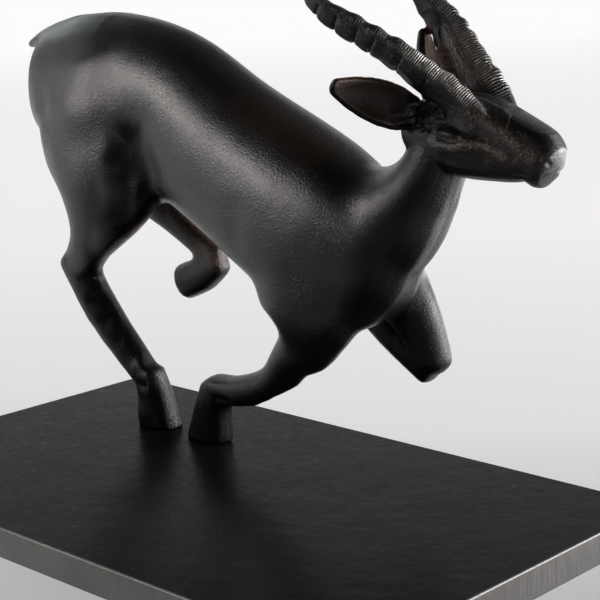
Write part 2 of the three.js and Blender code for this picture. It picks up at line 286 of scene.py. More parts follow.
def soften(obj, where, reach, shrink=1.0, voxel=SKIN_VOXEL):
    """Smooths the skin over reach, as far as where says, and keeps a share of what moves inward."""
    before = points_of(obj)
    outward = normals_of(obj)
    group = vertex_weights(obj, "soft", where)
    rounds = round((2 * reach / voxel) ** 2)
    modify(obj, "SMOOTH", factor=SMOOTH_STEP, iterations=rounds, vertex_group=group.name)
    obj.vertex_groups.remove(obj.vertex_groups["soft"])
    if shrink < 1:
        after = points_of(obj)
        inward = np.minimum(((after - before) * outward).sum(1), 0.0)
        set_points(obj, after - (1 - shrink) * inward[:, None] * outward)


def mirrored(line):
    return line * np.array([1.0, -1.0, 1.0])


def nearest(points, line, axes=(0, 1, 2)):
    """Each point's distance from a line of straight steps, and the share of the line's length there."""
    best = np.full(len(points), np.inf)
    run = np.zeros(len(points))
    start = 0.0
    chosen = points[:, axes]
    for a, b in zip(line[:-1, axes], line[1:, axes]):
        step = b - a
        length = np.linalg.norm(step)
        t = np.clip((chosen - a) @ step / length**2, 0, 1)
        gap = np.linalg.norm(chosen - a - t[:, None] * step, axis=1)
        nearer = gap < best
        best[nearer] = gap[nearer]
        run[nearer] = start + t[nearer] * length
        start += length
    return best, run / start


LINE_CORE = 0.2


def line_share(p, line, reach, mirror=True):
    """One on the line, and on its mirror image, fading to nothing at reach."""
    line = np.array(line, dtype=float)
    gap = nearest(p, line)[0]
    if mirror:
        gap = np.minimum(gap, nearest(p, mirrored(line))[0])
    return 1 - ramp(gap, LINE_CORE * reach, reach)


def strongest(p, lines, start):
    """The greatest share that any of the lines gives, and no less than start."""
    for line, reach, share in lines:
        start = np.maximum(start, share * line_share(p, line, reach))
    return start


def head_share(p):
    """One on the head, and nothing behind it."""
    ahead = (p[:, 0] - HEAD_PLANE["x"]) * HEAD_PLANE["slope_x"]
    above = (p[:, 2] - HEAD_PLANE["z"]) * HEAD_PLANE["slope_z"]
    return ramp(ahead + above, *HEAD_PLANE["fades"])


def flesh_share(p):
    """One on the trunk, the neck and the thighs, and nothing on the head and the thin legs."""
    x, y, z = p.T
    flesh = 1 - head_share(p)
    for leg in THIN_LEGS.values():
        inside = between(x, leg["x"]) & between(y, leg["y"])
        flesh = np.where(inside, flesh * ramp(z, *leg["z"]), flesh)
    tail = ramp(z, *TAIL_PAD["z"]) * (x < TAIL_PAD["behind"])
    return flesh * (1 - TAIL_PAD["share"] * tail)


def leg_share(p):
    """One on the thin legs, and nothing at their soles."""
    legs = (1 - flesh_share(p)) * (1 - head_share(p)) * ramp(p[:, 2], *LEG_SOLE)
    return legs * (1 - ramp(p[:, 2], *LEG_TOP))


def joint_share(p):
    gap = np.min([np.linalg.norm(p - np.array(joint), axis=1) for joint in LEG_JOINTS], axis=0)
    return 1 - ramp(gap, *JOINT_REACH)


def ear_share(p, ears=(NEAR_EAR, FAR_EAR)):
    gap = np.min([nearest(p, np.array(ear))[0] for ear in ears], axis=0)
    return 1 - ramp(gap, *EAR_REACH)


class Clay:
    """The skin's points, worked with strokes and then set back."""

    SIDE_VIEW_ROOM = 6.0
    PAST_MIDDLE = 2.0
    LINE_END = -0.01
    FLAT_CORE = 0.7

    def __init__(self, obj):
        self.obj = obj
        self.take()

    def take(self):
        self.at = points_of(self.obj)
        self.out = normals_of(self.obj)

    def settle(self):
        set_points(self.obj, self.at)
        self.take()

    def stroke(self, line, reach, height, mirror=True, side_view=False, tent=False, fade=0.15):
        """Raises or cuts a line on the skin, with soft ends. side_view measures across x and z alone."""
        line = np.array(line, dtype=float)
        room = reach + self.SIDE_VIEW_ROOM * np.array([0, side_view, 0])
        for one in [line, mirrored(line)] if mirror else [line]:
            inside = ((self.at > one.min(0) - room) & (self.at < one.max(0) + room)).all(1)
            if side_view:
                side = np.sign(one[:, 1].mean())
                inside &= self.at[:, 1] * side > self.PAST_MIDDLE
            index = np.flatnonzero(inside)
            gap, share = nearest(self.at[index], one, (0, 2) if side_view else (0, 1, 2))
            profile = np.clip(1 - gap / reach, 0, 1)
            if not tent:
                profile = soft_step(profile)
            ends = 1.0
            if fade:
                ends = np.minimum(ramp(share, self.LINE_END, fade), ramp(1 - share, self.LINE_END, fade))
            self.at[index] += (height * profile * ends)[:, None] * self.out[index]

    def flatten(self, centre, normal, reach, share):
        """Presses what stands above a plane back to it, near a centre."""
        centre = np.array(centre)
        normal = np.array(normal) / np.linalg.norm(normal)
        arm = self.at - centre
        above = np.maximum(arm @ normal, 0.0)
        near = 1 - ramp(np.linalg.norm(arm, axis=1), self.FLAT_CORE * reach, reach)
        self.at -= (share * near * above)[:, None] * normal


def copy_of_solid(name, voxel):
    """A copy of the CAD animal, merged and remeshed evenly."""
    pick(frame["nodes"]["springbok"])
    bpy.ops.object.duplicate()
    made = bpy.context.object
    made.name = name
    made.data.name = name
    for key in list(made.keys()):
        del made[key]
    bpy.ops.object.parent_clear(type="CLEAR_KEEP_TRANSFORM")
    made.data.materials.clear()
    bpy.ops.object.mode_set(mode="EDIT")
    bpy.ops.mesh.select_all(action="SELECT")
    bpy.ops.mesh.remove_doubles(threshold=MERGE_GAP)
    bpy.ops.object.mode_set(mode="OBJECT")
    modify(made, "REMESH", mode="VOXEL", voxel_size=voxel * MM)
    return made


def shape_body(clay):
    """Muscles, hips and hollows of the trunk, and the facets of the thin legs."""
    clay.stroke(FLANK_FOLD, reach=7.0, height=-0.4)
    clay.stroke(BACK_EDGE, reach=14.0, height=0.4)
    clay.stroke(HIP, reach=15.0, height=1.4, mirror=False, fade=0)
    clay.stroke(HIP_CREST, reach=14.0, height=1.0, mirror=False, fade=0)
    clay.stroke(RUMP_BACK, reach=9.0, height=1.2, fade=0)
    clay.stroke(ELBOW, reach=8.0, height=1.2, mirror=False, fade=0)
    clay.stroke(FLANK_VALLEY, reach=14.0, height=-1.7, mirror=False, fade=0.3)
    clay.settle()
    for place in STIFLE_EDGE:
        clay.flatten(place, STIFLE_FACET, reach=11.0, share=0.5)
    for place in CANNON_EDGE:
        clay.flatten(place, CANNON_FACET, reach=8.0, share=0.6)
    for place in FOREARM_EDGE:
        clay.flatten(place, FOREARM_FACET, reach=9.0, share=0.7)
    clay.settle()


def flesh_form():
    """A coarse copy of the animal with its muscles run together, for the skin to settle on."""
    form = copy_of_solid("flesh_form", FORM_VOXEL)
    p = points_of(form)
    flesh = flesh_share(p)
    legs = leg_share(p)
    joints = joint_share(p)
    front = ramp(p[:, 0], *FOREQUARTERS)

    def ease(where, reach, shrink):
        soften(form, where, reach, shrink, FORM_VOXEL)

    ease(flesh, reach=3.2, shrink=1.0)
    ease(flesh * front, reach=7.5, shrink=0.15)
    ease(flesh * (1 - front), reach=4.0, shrink=0.3)
    ease(joints, reach=4.0, shrink=0.1)
    ease(joints, reach=2.4, shrink=0.6)
    ease(legs, reach=1.2, shrink=0.4)
    shape_body(Clay(form))
    ease(legs, reach=1.2, shrink=0.6)
    ease(line_share(points_of(form), FLANK_VALLEY, reach=20.0, mirror=False), reach=3.0, shrink=0.6)
    ease(flesh, reach=2.2, shrink=1.0)
    return form


def smooth_flesh(skin):
    """Eases the skin, settles the trunk and the legs on the flesh form, and rounds the ears."""
    soften(skin, everywhere(skin), reach=0.75)
    form = flesh_form()
    p = points_of(skin)
    group = vertex_weights(skin, "flesh", np.maximum(flesh_share(p), leg_share(p)))
    modify(skin, "SHRINKWRAP", target=form, wrap_method="NEAREST_SURFACEPOINT", vertex_group=group.name)
    skin.vertex_groups.clear()
    p = points_of(skin)
    soften(skin, flesh_share(p), reach=1.3)
    soften(skin, ear_share(p), reach=1.1, shrink=0.3)
    soften(skin, ear_share(p, [FAR_EAR]), reach=2.6, shrink=0.0)
    pick(form)
    bpy.ops.object.delete()


def cut_body(clay):
    """The breast's edge, the tail's crease, and the heels and pasterns of the standing legs."""
    clay.stroke(BREAST_EDGE, reach=4.5, height=0.8, tent=True, fade=0.2)
    clay.stroke(TAIL_CREASE, reach=6.0, height=-0.5, fade=0.3)
    clay.stroke(HIND_HEEL_NOTCH, reach=3.0, height=-1.0, mirror=False, fade=0.2)
    clay.stroke(HIND_HEEL, reach=6.0, height=0.8, mirror=False, fade=0)
    clay.stroke(FORE_PASTERN, reach=2.4, height=-0.9, mirror=False, fade=0.2)
    clay.stroke(FORE_FETLOCK, reach=4.5, height=0.5, mirror=False, fade=0)
    clay.settle()


def shape_head(clay):
    """The eye, the brow, the cheek, the planes of the face, the nostrils and the mouth."""
    clay.stroke(EYE_SOCKET, reach=4.2, height=-0.7, side_view=True, fade=0)
    clay.stroke(HAIR_TUFT, reach=5.5, height=0.9, side_view=True, fade=0)
    clay.stroke(CHEEK_HOLLOW, reach=4.5, height=-0.4, side_view=True)
    clay.stroke(FACE_SIDE, reach=3.5, height=-0.3, side_view=True)
    clay.stroke(CHEEK_RIDGE, reach=2.4, height=0.35, side_view=True)
    clay.settle()
    clay.stroke(FACE_RIDGE, reach=2.8, height=0.45)
    clay.stroke(EYE_BALL, reach=1.6, height=0.55, side_view=True, fade=0)
    clay.stroke(BROW_CREASE, reach=1.0, height=-0.9, side_view=True, tent=True)
    clay.stroke(LOWER_LID, reach=0.9, height=-0.35, side_view=True, tent=True)
    clay.stroke(CHIN, reach=4.0, height=0.6, mirror=False, fade=0)
    clay.flatten(**MUZZLE_TOP, reach=9.0, share=0.6)
    clay.flatten(**CHIN_FRONT, reach=6.0, share=0.8)
    clay.settle()
    clay.stroke(NOSTRIL_RIM, reach=1.3, height=0.2)
    clay.stroke(NOSTRIL, reach=1.0, height=-0.6, tent=True)
    clay.stroke(MOUTH, reach=1.0, height=-0.45, tent=True, fade=0.05)
    clay.settle()


def tool_hair(clay):
    """Short cuts of the modelling tool on the tuft behind each eye."""
    random = np.random.default_rng(SEED)
    centre = np.array(HAIR_PATCH["centre"])
    for side in (-1, 1):
        y = side * HAIR_PATCH["side"]
        for _ in range(HAIR_PATCH["dimples"]):
            spread = random.uniform(-1, 1, 2)
            if np.hypot(*spread) > 1:
                continue
            x, z = centre + spread * HAIR_PATCH["size"]
            lean = random.uniform(-HAIR_PATCH["lean"], HAIR_PATCH["lean"])
            half = 0.5 * random.uniform(*HAIR_PATCH["length"])
            step_x = half * math.cos(lean)
            step_z = half * math.sin(lean)
            line = [(x - step_x, y, z - step_z), (x + step_x, y, z + step_z)]
            depth = -HAIR_PATCH["depth"] * random.uniform(*HAIR_PATCH["depth_share"])
            clay.stroke(line, HAIR_PATCH["reach"], depth, mirror=False, side_view=True, fade=0)
    clay.settle()


def smooth_line(points, steps):
    """A smooth line through the points, with steps to each span."""
    padded = np.vstack([2 * points[0] - points[1], points, 2 * points[-1] - points[-2]])
    made = []
    for a, b, c, d in zip(padded[:-3], padded[1:-2], padded[2:-1], padded[3:]):
        for t in np.arange(steps) / steps:
            made.append(0.5 * (2 * b + (c - a) * t + (2 * a - 5 * b + 4 * c - d) * t**2
                               + (3 * b - a - 3 * c + d) * t**3))
    return np.array(made + [points[-1]])


def tapered(half, t):
    return half["base"] + (half["tip"] - half["base"]) * t ** half["power"]


def horn_places(p, side):
    """The points on one horn: their index, share along it, place across it, and millimetres from its root."""
    line = smooth_line(HORN_LINE, HORN_STEPS) * np.array([1.0, side, 1.0])
    last = len(line) - 1
    in_box = (p[:, 0] > HORN_BOX["front_of"]) & (p[:, 1] * side > 0) & (p[:, 2] > HORN_BOX["above"])
    near = np.flatnonzero(in_box)
    gap, _ = nearest(p[near], line)
    near = near[gap < HORN_BOX["reach"]]
    q = p[near]
    best = ((q[:, None, :] - line[None, ::2, :]) ** 2).sum(2).argmin(1) * 2
    low = np.clip(best - HORN_SPAN // 2, 0, last - HORN_SPAN)
    along = line[low + HORN_SPAN] - line[low]
    length = np.linalg.norm(along, axis=1)
    along /= length[:, None]
    run = best + ((q - line[best]) * along).sum(1) / (length / HORN_SPAN)
    t = np.clip(run / last, 0, 1)
    across = np.array([-HORN_TWIST, side, 0.0]) / math.hypot(HORN_TWIST, 1.0)
    sideways = across - (along @ across)[:, None] * along
    sideways /= np.linalg.norm(sideways, axis=1)[:, None]
    front = -side * np.cross(along, sideways)
    whole = np.clip(run, 0, last)
    base = np.floor(whole).astype(int).clip(0, last - 1)
    arm = q - (line[base] + (whole - base)[:, None] * (line[base + 1] - line[base]))
    wide = (arm * sideways).sum(1) / tapered(HORN_WIDE, t)
    forward = (arm * front).sum(1) / tapered(HORN_DEEP, t)
    on_horn = (np.hypot(wide, forward) < HORN_BOX["loose"]) & (ear_share(q) < HORN_BOX["ear"])
    lengths = np.concatenate([[0], np.cumsum(np.linalg.norm(np.diff(line, axis=0), axis=1))])
    millimetres = np.interp(whole, np.arange(len(line)), lengths)
    return [values[on_horn] for values in (near, t, wide, forward, millimetres)]


def ridge_share(t, wide, forward):
    front = ramp(forward, *RIDGE["front"])
    return front * (1 - ramp(np.abs(wide), *RIDGE["side"])) * ramp(t, *HORN_ROOT)


def hatch_share(t, wide, forward, side):
    """Where the ridge is hatched: at the near horn's root, and along the far horn's inner edge."""
    if side < 0:
        return ridge_share(t, wide, forward) * (1 - NEAR_HATCH["loss"] * ramp(t, *NEAR_HATCH["ends"]))
    edge = ramp(forward, *FAR_HATCH["front"]) * ramp(-wide, *FAR_HATCH["inner"])
    return edge * ramp(t, *HORN_ROOT) * (1 - ramp(t, *FAR_HATCH["ends"]))


def shape_horns(clay):
    """Beads parted by grooves on the outer face, a knobbed ridge in front, and a sunken inner face."""
    for side in (-1, 1):
        index, t, wide, forward, run = horn_places(clay.at, side)
        ridge = ridge_share(t, wide, forward)
        outer = ramp(wide, *RINGS["outer"]) * (1 - ridge)
        flat = 1 - ramp(np.abs(forward), *INNER_FACE["edge"])
        inner = ramp(-wide, *INNER_FACE["inner"]) * flat * ramp(t, *INNER_FACE["starts"])
        gap = np.abs(run[:, None] - RING_GROOVES).min(1)
        ringed = ramp(run, *RINGS["starts"]) * (1 - ramp(run, *RINGS["ends"]))
        bead = 1 - np.clip(1 - gap / RINGS["bead"], 0, 1) ** 2
        groove = np.clip(1 - gap / RINGS["groove"], 0, 1)
        ring_height = RINGS["rise"] + RINGS["rise"] * t
        lift = outer * ringed * ring_height * (bead - RINGS["sunk"] - RINGS["cut"] * groove)
        knob = 0.5 - 0.5 * np.cos(2 * np.pi * run / KNOBS["spacing"])
        knobbed = KNOBS["rise"] * knob * (1 - ramp(t, *KNOBS["ends"]))
        lift += ridge * (RIDGE["rise"] + knobbed) - INNER_FACE["depth"] * inner
        if side > 0:
            rear = FAR_REAR["fill"] * ramp(-forward, *FAR_REAR["back"])
            lift += rear * ramp(t, *FAR_REAR["starts"]) * (1 - ramp(t, *FAR_REAR["ends"]))
        size = 1 - RELIEF_TAPER * t
        clay.at[index] += (size * lift)[:, None] * clay.out[index]
    clay.settle()


def lighten(skin):
    """Thins the skin's mesh, and least on the head."""
    weight = HEAD_KEPT_FINE["head"] + HEAD_KEPT_FINE["elsewhere"] * (1 - head_share(points_of(skin)))
    group = vertex_weights(skin, "fine", weight)
    quads = len(skin.data.polygons)
    modify(skin, "DECIMATE", ratio=SKIN_TRIANGLES / (2 * quads), vertex_group=group.name,
           vertex_group_factor=HEAD_KEPT_FINE["factor"])
    skin.vertex_groups.clear()


def relief(obj, rounds):
    """How far each point stands above the skin around it, in millimetres: below zero in a recess."""
    points = points_of(obj)
    flat = np.empty(2 * len(obj.data.edges), dtype=np.int32)
    obj.data.edges.foreach_get("vertices", flat)
    one, other = flat.reshape(-1, 2).T
    count = np.maximum(np.bincount(flat, minlength=len(points)), 1)
    smooth = points.copy()
    for _ in range(rounds):
        mean = np.empty_like(smooth)
        for axis in range(3):
            mean[:, axis] = (np.bincount(one, smooth[other, axis], len(points))
                             + np.bincount(other, smooth[one, axis], len(points))) / count
        smooth = 0.5 * (smooth + mean)
    return ((points - smooth) * normals_of(obj)).sum(1)


def mark_wear(skin):
    """Writes on the skin where the bronze is rubbed, tooled and hatched; where the head and legs are rougher
    and carry painted shade as lost gloss; and where gloss goes, dull in recesses and painted shade elsewhere.
    """
    p = points_of(skin)
    wear = strongest(p, RUBBED_LINES, np.zeros(len(p)))
    offset = (p[:, (0, 2)] - np.array(HAIR_PATCH["centre"])) / HAIR_PATCH["size"]
    hair = 1 - ramp(np.hypot(*offset.T), *HAIR_PATCH["fades"])
    tooled = strongest(p, TOOLED_LINES, hair * (np.abs(p[:, 1]) > HAIR_PATCH["clear_of_middle"]))
    # Dull in recesses, from the relief.
    dull_and_shade = ramp(-relief(skin, RELIEF_ROUNDS), *DEEP_RELIEF) * (1 - tooled)
    hatch = np.zeros(len(p))
    along = np.zeros(len(p))
    across = np.zeros(len(p))
    for side in (-1, 1):
        index, t, wide, forward, run = horn_places(p, side)
        far = side > 0
        starts = ramp(t, *INNER_RUB["starts"])
        inner = ramp(-wide, *INNER_FACE["inner"]) * starts * (1 - ramp(t, *INNER_RUB["ends"]))
        wear[index] = np.maximum(wear[index], INNER_RUB["wear"] * inner)
        # The horns' tooled share, which also carries painted glints.
        tooled_with_glints = np.maximum(HORN_TOOLED, INNER_RUB["tooled"] * inner * far)
        tooled[index] = np.maximum(tooled[index], tooled_with_glints)
        hatch[index] = hatch_share(t, wide, forward, side)
        along[index] = FAR_HATCH["spread"] * run if far else run
        across[index] = ACROSS_HORN["scale"] * forward + side * ACROSS_HORN["apart"]
        if far:
            # Painted shade, as lost gloss, on the far horn's rear face.
            rear = FAR_REAR_SHADE["dull"] * ramp(-forward, *FAR_REAR_SHADE["back"])
            dull_and_shade[index] = np.maximum(dull_and_shade[index], rear)
    facing = normals_of(skin)[:, 0]
    # Painted shade, as lost gloss, on the hooves and on the standing cannon where they turn away from the
    # front.
    hoof = (1 - ramp(p[:, 2], *HOOF_SHADE["z"])) * (1 - HOOF_SHADE["front_loss"] * ramp(facing, *HOOF_SHADE["forward"]))
    cannon = line_share(p, CANNON_EDGE, CANNON_SHADE["reach"], mirror=False)
    cannon = cannon * (1 - ramp(facing, *CANNON_SHADE["forward"]))
    # Painted shade in the groin, as lost gloss.
    groin = line_share(p, GROIN, GROIN_SHADE["reach"], mirror=False)
    # The ears, the far one most, take painted shade as lost gloss, as do the groin, the hooves and the
    # standing cannon.
    for share in (ear_share(p) * (1 - wear) * (1 - tooled), FAR_EAR_SHADE * ear_share(p, [FAR_EAR]),
                  GROIN_SHADE["dull"] * groin, HOOF_SHADE["dull"] * hoof, CANNON_SHADE["dull"] * cannon):
        dull_and_shade = np.maximum(dull_and_shade, share)
    # Painted shade, as lost gloss, along the breast's side, the upper arm and the tail's crease.
    dull_and_shade = strongest(p, SHADE_LINES, dull_and_shade)
    # The head, the horns and the thin legs are a little rougher and take painted shade as lost gloss; the
    # nose tip keeps its gloss.
    nose = ramp(p[:, 0], *NOSE["x"]) * ramp(p[:, 2], *NOSE["z"])
    matte_and_shaded = (1 - flesh_share(p)) * (1 - nose)
    marks = {"wear": wear, "matte_and_shaded": matte_and_shaded, "tooled": tooled, "hatch": hatch, "along_horn": along,
             "across_horn": across, "dull_and_shade": dull_and_shade}
    for name, values in marks.items():
        made = skin.data.attributes.new(name=name, type="FLOAT", domain="POINT")
        made.data.foreach_set("value", np.asarray(values, dtype=np.float32))


def springbok_skin():
    """The animal's fine skin, from the CAD solid."""
    skin = copy_of_solid("springbok_skin", SKIN_VOXEL)
    smooth_flesh(skin)
    clay = Clay(skin)
    cut_body(clay)
    shape_head(clay)
    tool_hair(clay)
    shape_horns(clay)
    soften(skin, everywhere(skin), reach=0.3)
    p = points_of(skin)
    p[:, 2] = np.maximum(p[:, 2], 0.0)
    set_points(skin, p)
    lighten(skin)
    mark_wear(skin)
    pick(skin)
    bpy.ops.object.shade_smooth()
    return skin


def base_plate():
    """The steel plate, with its arrises broken."""
    bpy.ops.object.select_all(action="DESELECT")
    bpy.ops.mesh.primitive_cube_add(size=1)
    plate = bpy.context.object
    plate.name = "plate"
    plate.data.name = "plate"
    plate.scale = (PLATE["length"] * MM, PLATE["width"] * MM, PLATE["thickness"] * MM)
    plate.location = (0, 0, 0.5 * PLATE["thickness"] * MM)
    bpy.ops.object.transform_apply(location=True, rotation=True, scale=True)
    bpy.ops.object.mode_set(mode="EDIT")
    bpy.ops.mesh.select_all(action="SELECT")
    bpy.ops.mesh.bevel(offset=PLATE["arris"] * MM, segments=PLATE["arris_steps"])
    bpy.ops.object.mode_set(mode="OBJECT")
    return plate


class Nodes:
    """A tree of nodes, added one at a time."""

    def __init__(self, tree):
        self.tree = tree

    def add(self, kind, inputs=None, **settings):
        node = self.tree.nodes.new(kind)
        for name, value in settings.items():
            setattr(node, name, value)
        for name, value in (inputs or {}).items():
            self.feed(node.inputs[name], value)
        return node

    def feed(self, socket, value):
        if isinstance(value, bpy.types.NodeSocket):
            self.tree.links.new(value, socket)
        else:
            socket.default_value = value

    def spread(self, value, span, to=(0.0, 1.0)):
        """Takes the span of values to another span, and holds it at the ends."""
        node = self.add("ShaderNodeMapRange", {"Value": value, "From Min": span[0], "From Max": span[1],
                                               "To Min": to[0], "To Max": to[1]})
        return node.outputs["Result"]

    def math(self, operation, a, b=0.0):
        return self.add("ShaderNodeMath", {0: a, 1: b}, operation=operation).outputs[0]

    def times(self, a, b):
        return self.math("MULTIPLY", a, b)

    def plus(self, a, b):
        return self.math("ADD", a, b)

    def along(self, place, direction):
        node = self.add("ShaderNodeVectorMath", {0: place, 1: direction}, operation="DOT_PRODUCT")
        return node.outputs["Value"]

    def seen(self):
        return self.add("ShaderNodeLightPath").outputs["Is Camera Ray"]


class Finish(Nodes):
    """A material, with patterns on the piece's own coordinates."""

    def __init__(self, name):
        self.material = bpy.data.materials.new(name)
        self.material.use_nodes = True
        super().__init__(self.material.node_tree)
        self.shader = self.tree.nodes["Principled BSDF"]
        self.place = self.add("ShaderNodeTexCoord").outputs["Object"]

    def shade(self, **values):
        for name, value in values.items():
            self.feed(self.shader.inputs[name.replace("_", " ")], value)

    def noise(self, scale, detail=2.0, roughness=0.5, place=None, distortion=0.0):
        node = self.add("ShaderNodeTexNoise", {"Vector": place or self.place, "Scale": scale,
                                               "Detail": detail, "Roughness": roughness,
                                               "Distortion": distortion})
        return node.outputs["Fac"]

    def blend(self, share, a, b):
        node = self.add("ShaderNodeMix", {"Factor": share, 6: a, 7: b}, data_type="RGBA")
        return node.outputs[2]

    def choose(self, share, a, b):
        return self.add("ShaderNodeMix", {"Factor": share, 2: a, 3: b}).outputs[0]

    def attribute(self, name):
        return self.add("ShaderNodeAttribute", attribute_name=name).outputs["Fac"]

    def bump(self, height, distance, under=None):
        node = self.add("ShaderNodeBump", {"Height": height, "Distance": distance, "Strength": 1.0})
        if under is not None:
            self.feed(node.inputs["Normal"], under)
        return node.outputs["Normal"]


WHOLE = (0.0, 1.0)
BRONZE_DARK = (0.0048, 0.0043, 0.0040, 1)
BRONZE_WARM = (0.0105, 0.0078, 0.0064, 1)
BRONZE_RUBBED = (0.085, 0.034, 0.019, 1)
# The light flecks on the tooled marks are painted glints.
BRONZE_FLECK_GLINT = (0.13, 0.105, 0.092, 1)
# The bright metal of the hatch lines is a painted glint.
BRONZE_HATCH_GLINT = (0.62, 0.59, 0.56, 1)
BRONZE_IOR = 1.8
BRONZE_SATIN = (0.26, 0.34)
BRONZE_GLOSS = 0.5
MATTE_ROUGHER = 0.02
# The gloss left where the bronze is dull in recesses or carries painted shade.
RECESS_AND_SHADE_GLOSS = 0.1
HATCH_SPACING = 0.75
HATCH_WAVER = 0.7
HATCH_DEPTH = 0.00018
STREAKS = {"across": 1.4, "along": 0.16, "depth": 0.0004}


def bronze():
    """Near-black patina rubbed brown on the ridges, with a painted highlight on the far cannon; dull in
    recesses; painted shade as lost gloss; painted glints as bright hatch lines on the horns and light flecks
    on the tooled marks.
    """
    r = Finish("dark_bronze")
    matte_and_shaded = r.attribute("matte_and_shaded")
    tooled = r.attribute("tooled")
    dull_and_shade = r.attribute("dull_and_shade")
    hatch = r.attribute("hatch")
    along_horn = r.attribute("along_horn")
    clouds = r.noise(scale=38.0, detail=3.0)
    speckle = r.noise(scale=620.0, detail=3.0, roughness=0.65)
    grain = r.noise(scale=2000.0, roughness=0.6)
    cut = r.noise(scale=1100.0, roughness=0.55, distortion=0.5)
    pits = r.spread(r.noise(scale=900.0, detail=1.0), span=(0.69, 0.77))
    wear = r.times(r.attribute("wear"), r.spread(speckle, span=(0.36, 0.62), to=(0.1, 1.0)))

    # Painted glints: bright metal along the hatch lines of the horns, in patches.
    waver = r.times(r.noise(scale=350.0), HATCH_WAVER)
    lines = r.math("SINE", r.times(r.plus(along_horn, waver), 2 * math.pi / HATCH_SPACING))
    patchy = r.spread(r.noise(scale=260.0), span=(0.4, 0.6), to=(0.3, 1.0))
    hatch_glints = r.times(r.times(hatch, r.spread(lines, span=(0.1, 0.7))), patchy)

    colour = r.blend(r.spread(clouds, span=(0.35, 0.65)), BRONZE_DARK, BRONZE_WARM)
    colour = r.blend(wear, colour, BRONZE_RUBBED)
    # Light flecks on the tooled marks: painted glints.
    tooled_with_glints = r.times(tooled, r.spread(cut, span=(0.45, 0.65), to=(0.0, 0.8)))
    colour = r.blend(tooled_with_glints, colour, BRONZE_FLECK_GLINT)
    r.shade(Base_Color=r.blend(hatch_glints, colour, BRONZE_HATCH_GLINT), Metallic=hatch_glints)

    satin = r.spread(r.plus(clouds, r.times(grain, 0.5)), span=(0.5, 1.0), to=BRONZE_SATIN)
    r.shade(Roughness=r.plus(satin, r.times(matte_and_shaded, MATTE_ROUGHER)), IOR=BRONZE_IOR)
    # Painted shade on the head, horns and thin legs, as lost gloss, less where tooled.
    shade_on_head_and_legs = r.times(matte_and_shaded, r.spread(tooled, WHOLE, to=(0.5, 0.1)))
    gloss = r.spread(shade_on_head_and_legs, WHOLE, to=(BRONZE_GLOSS, 0.0))
    # Painted shade, and dullness in recesses, take most of the gloss away.
    gloss = r.times(gloss, r.spread(dull_and_shade, WHOLE, to=(1.0, RECESS_AND_SHADE_GLOSS)))
    r.shade(Specular_IOR_Level=r.times(gloss, r.spread(pits, WHOLE, to=(1.0, 0.6))))

    hand = r.bump(r.noise(scale=110.0), distance=0.00012)
    uneven = r.spread(clouds, span=(0.4, 0.6), to=(0.5, 1.2))
    peel = r.bump(r.times(r.noise(scale=1200.0, roughness=0.6), uneven), distance=0.0001, under=hand)
    sand = r.bump(r.times(grain, r.spread(matte_and_shaded, WHOLE, to=(1.0, 1.6))), distance=0.00012, under=peel)
    tool = r.bump(r.times(cut, tooled), distance=0.0006, under=sand)
    on_horn = r.add("ShaderNodeCombineXYZ", {"X": r.times(r.attribute("across_horn"), STREAKS["across"]),
                                             "Y": r.times(along_horn, STREAKS["along"])}).outputs[0]
    streak_height = r.noise(scale=1.0, detail=3.0, roughness=0.6, place=on_horn)
    streak = r.bump(streak_height, distance=STREAKS["depth"], under=tool)
    r.shade(Normal=r.bump(r.times(lines, hatch), distance=HATCH_DEPTH, under=streak))
    return r.material


TOP_BLACK = (0.0055, 0.0055, 0.006, 1)
TOP_PALER = (0.009, 0.009, 0.0095, 1)
TOP_IOR = 1.115
TOP_SATIN = (0.26, 0.36)


def plate_top():
    """Black satin with a fine wrinkle and broad, faint swells."""
    r = Finish("black_grained_top")
    wrinkle = r.noise(scale=480.0, detail=3.0, roughness=0.55, distortion=0.6)
    broad = r.noise(scale=60.0)
    r.shade(Base_Color=r.blend(r.spread(broad, span=(0.3, 0.7)), TOP_BLACK, TOP_PALER))
    r.shade(Roughness=r.spread(wrinkle, span=(0.3, 0.7), to=TOP_SATIN), IOR=TOP_IOR)
    swell = r.bump(r.noise(scale=190.0), distance=0.00008, under=r.bump(broad, distance=0.0002))
    r.shade(Normal=r.bump(wrinkle, distance=0.00005, under=swell))
    return r.material


EDGE_STEEL = {"bright": (0.26, 0.25, 0.243), "smooth": 0.36}
ARRIS_STEEL = {"bright": (0.22, 0.213, 0.205), "smooth": 0.42}
DULL_STEEL = 0.72
BRUSH_STRETCH = (1700.0, 1700.0, 70.0)
BRUSH_ROUGHER = 0.16


def steel(name, bright, smooth):
    """Bare steel, brushed upright."""
    r = Finish(name)
    stretched = r.add("ShaderNodeMapping", {"Vector": r.place, "Scale": BRUSH_STRETCH}).outputs["Vector"]
    brushed = r.noise(scale=1.0, detail=3.0, roughness=0.6, place=stretched)
    clouds = r.noise(scale=45.0, detail=3.0)
    tone = r.spread(r.plus(brushed, clouds), span=(0.7, 1.3))
    dull = tuple(DULL_STEEL * c for c in bright)
    r.shade(Base_Color=r.blend(tone, dull + (1,), bright + (1,)), Metallic=1.0)
    r.shade(Roughness=r.spread(brushed, span=(0.3, 0.7), to=(smooth, smooth + BRUSH_ROUGHER)))
    r.shade(Normal=r.bump(brushed, distance=0.00005))
    return r.material


LEVEL = 0.99
SLOPING = 0.1
TOP_FACE, EDGE_FACE, ARRIS_FACE = range(3)


